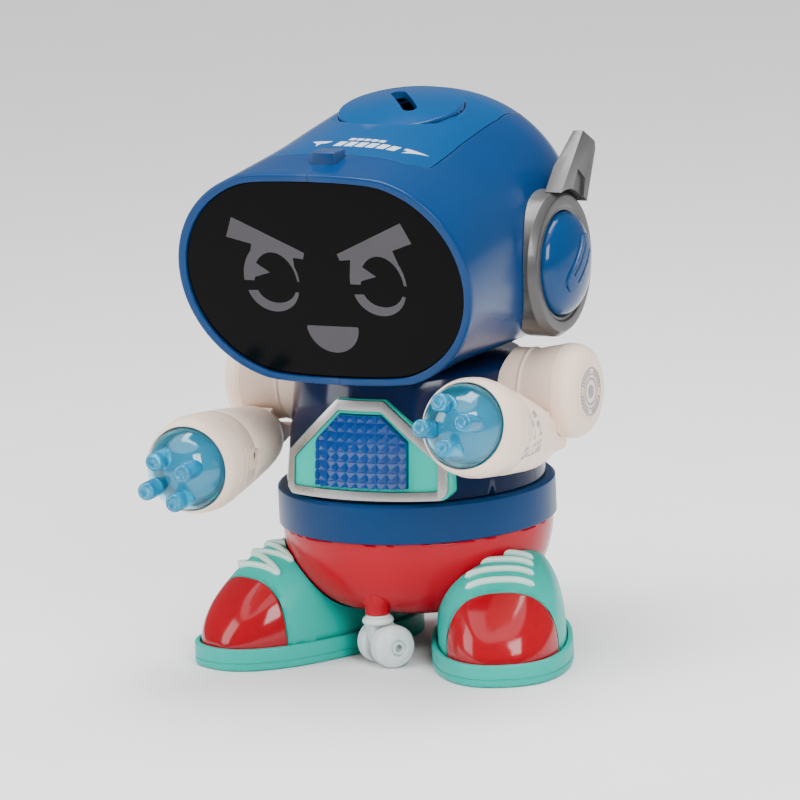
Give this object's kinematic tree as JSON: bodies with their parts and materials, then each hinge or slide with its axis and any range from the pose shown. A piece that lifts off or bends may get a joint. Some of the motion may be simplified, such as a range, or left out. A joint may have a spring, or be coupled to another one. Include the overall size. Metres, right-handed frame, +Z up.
{
  "type": "toy robot",
  "caption": "Toy robot money box with a screen-faced helmet head that opens at the lid, swinging arms with clear pegged hands, a turning waist, trainers and a caster.",
  "frame": {"origin": "centre of the bounding box's footprint, on the surface the soles stand on", "axes": "+Z up, the face looks along -Y, the robot's own left is +X"},
  "size_m": [0.1626, 0.1959, 0.2234],
  "materials": {
    "head_blue": "glossy moulded plastic",
    "body_blue": "glossy moulded plastic",
    "red": "glossy moulded plastic",
    "turquoise": "satin moulded plastic",
    "cream": "satin moulded plastic",
    "grey": "metallic grey plastic",
    "clear_blue": "clear tinted plastic",
    "black": "glossy black plastic",
    "milky": "translucent milky plastic",
    "board_green": "solder-masked board",
    "steel": "bright steel",
    "nylon": "natural nylon",
    "silver": "silver-painted plastic",
    "lace": "pale moulded plastic",
    "cell_jacket": "printed cell jacket over a can"
  },
  "bodies": {
    "hips": {"hip_bowl": "red", "hip_plate": "red", "waist_gear": "nylon", "shoe_sole_left": "turquoise", "shoe_sole_right": "turquoise", "shoe_upper_left": "turquoise", "shoe_upper_right": "turquoise", "shoe_toe_cap_left": "red", "shoe_toe_cap_right": "red", "shoe_laces_left": "lace", "shoe_laces_right": "lace"},
    "lid": {"head_lid": "head_blue", "coin_slot_disc": "head_blue"},
    "latch": {"lid_latch": "head_blue"},
    "caster": {"caster_fork": "milky", "caster_axle": "steel"},
    "wheel_left": {"caster_wheel_left": "milky"},
    "wheel_right": {"caster_wheel_right": "milky"},
    "pinion": {"motor_pinion": "nylon"},
    "switch": {"power_switch": "black"},
    "arm_left": {"shoulder_drum_left": "cream", "shoulder_cap_left": "cream", "forearm_shell_left": "cream", "forearm_rim_left": "cream", "arm_lens_left": "clear_blue"},
    "arm_right": {"shoulder_drum_right": "cream", "shoulder_cap_right": "cream", "forearm_shell_right": "cream", "forearm_rim_right": "cream", "arm_lens_right": "clear_blue"},
    "torso": {"aa_cell_1": "cell_jacket", "aa_cell_2": "cell_jacket", "aa_cell_3": "cell_jacket", "antenna": "grey", "battery_door": "body_blue", "battery_door_screw": "steel", "battery_tray": "nylon", "chest_base": "turquoise", "chest_frame": "silver", "chest_lens": "clear_blue", "circuit_board": "board_green", "ear_cap_left": "head_blue", "ear_cap_right": "head_blue", "ear_ring_left": "grey", "ear_ring_right": "grey", "face_screen": "black", "head_shell_left": "head_blue", "head_shell_right": "head_blue", "lid_hinge_pin": "steel", "neck_collar": "body_blue", "shoulder_collar_left": "cream", "shoulder_collar_right": "cream", "speaker": "black", "torso_back": "body_blue", "torso_floor": "body_blue", "torso_front": "body_blue", "waist_motor": "steel", "waist_ring": "body_blue"}
  },
  "joints": [
    {"name": "waist_turn", "type": "hinge", "parent": "hips", "child": "torso", "pos_m": [0, 0.0119, 0.0526], "axis": [0, 0, 1], "range_deg": [-20, 20]},
    {"name": "motor_pinion_spin", "type": "hinge", "parent": "torso", "child": "pinion", "pos_m": [0, -0.00925, 0.0466], "axis": [0, 0, 1], "range_deg": [-64.5, 64.5]},
    {"name": "shoulder_left", "type": "hinge", "parent": "torso", "child": "arm_left", "pos_m": [0.0615, 0.0129, 0.1065], "axis": [-1, 0, 0], "range_deg": [-30, 4]},
    {"name": "shoulder_right", "type": "hinge", "parent": "torso", "child": "arm_right", "pos_m": [-0.0615, 0.0129, 0.1065], "axis": [-1, 0, 0], "range_deg": [-14, 20]},
    {"name": "lid_hinge", "type": "hinge", "parent": "torso", "child": "lid", "pos_m": [0, 0.0583, 0.2156], "axis": [-1, 0, 0], "range_deg": [0, 60]},
    {"name": "latch_press", "type": "slide", "parent": "torso", "child": "latch", "axis": [0, 0, -1], "range_m": [0, 0.002], "stiffness_N_per_m": 300, "springref_m": -0.001},
    {"name": "caster_swivel", "type": "hinge", "parent": "hips", "child": "caster", "pos_m": [0, -0.0301, 0.02], "axis": [0, 0, 1], "continuous": true},
    {"name": "caster_wheel_left_spin", "type": "hinge", "parent": "caster", "child": "wheel_left", "pos_m": [0.00185, -0.02774, 0.0086], "axis": [0.788, -0.6157, 0], "continuous": true},
    {"name": "caster_wheel_right_spin", "type": "hinge", "parent": "caster", "child": "wheel_right", "pos_m": [0.00185, -0.02774, 0.0086], "axis": [0.788, -0.6157, 0], "continuous": true},
    {"name": "power_switch_slide", "type": "slide", "parent": "hips", "child": "switch", "axis": [1, 0, 0], "range_m": [0, 0.004]}
  ],
  "couplings": [
    {"joint": "motor_pinion_spin", "follows": "waist_turn", "ratio": 3.2}
  ]
}
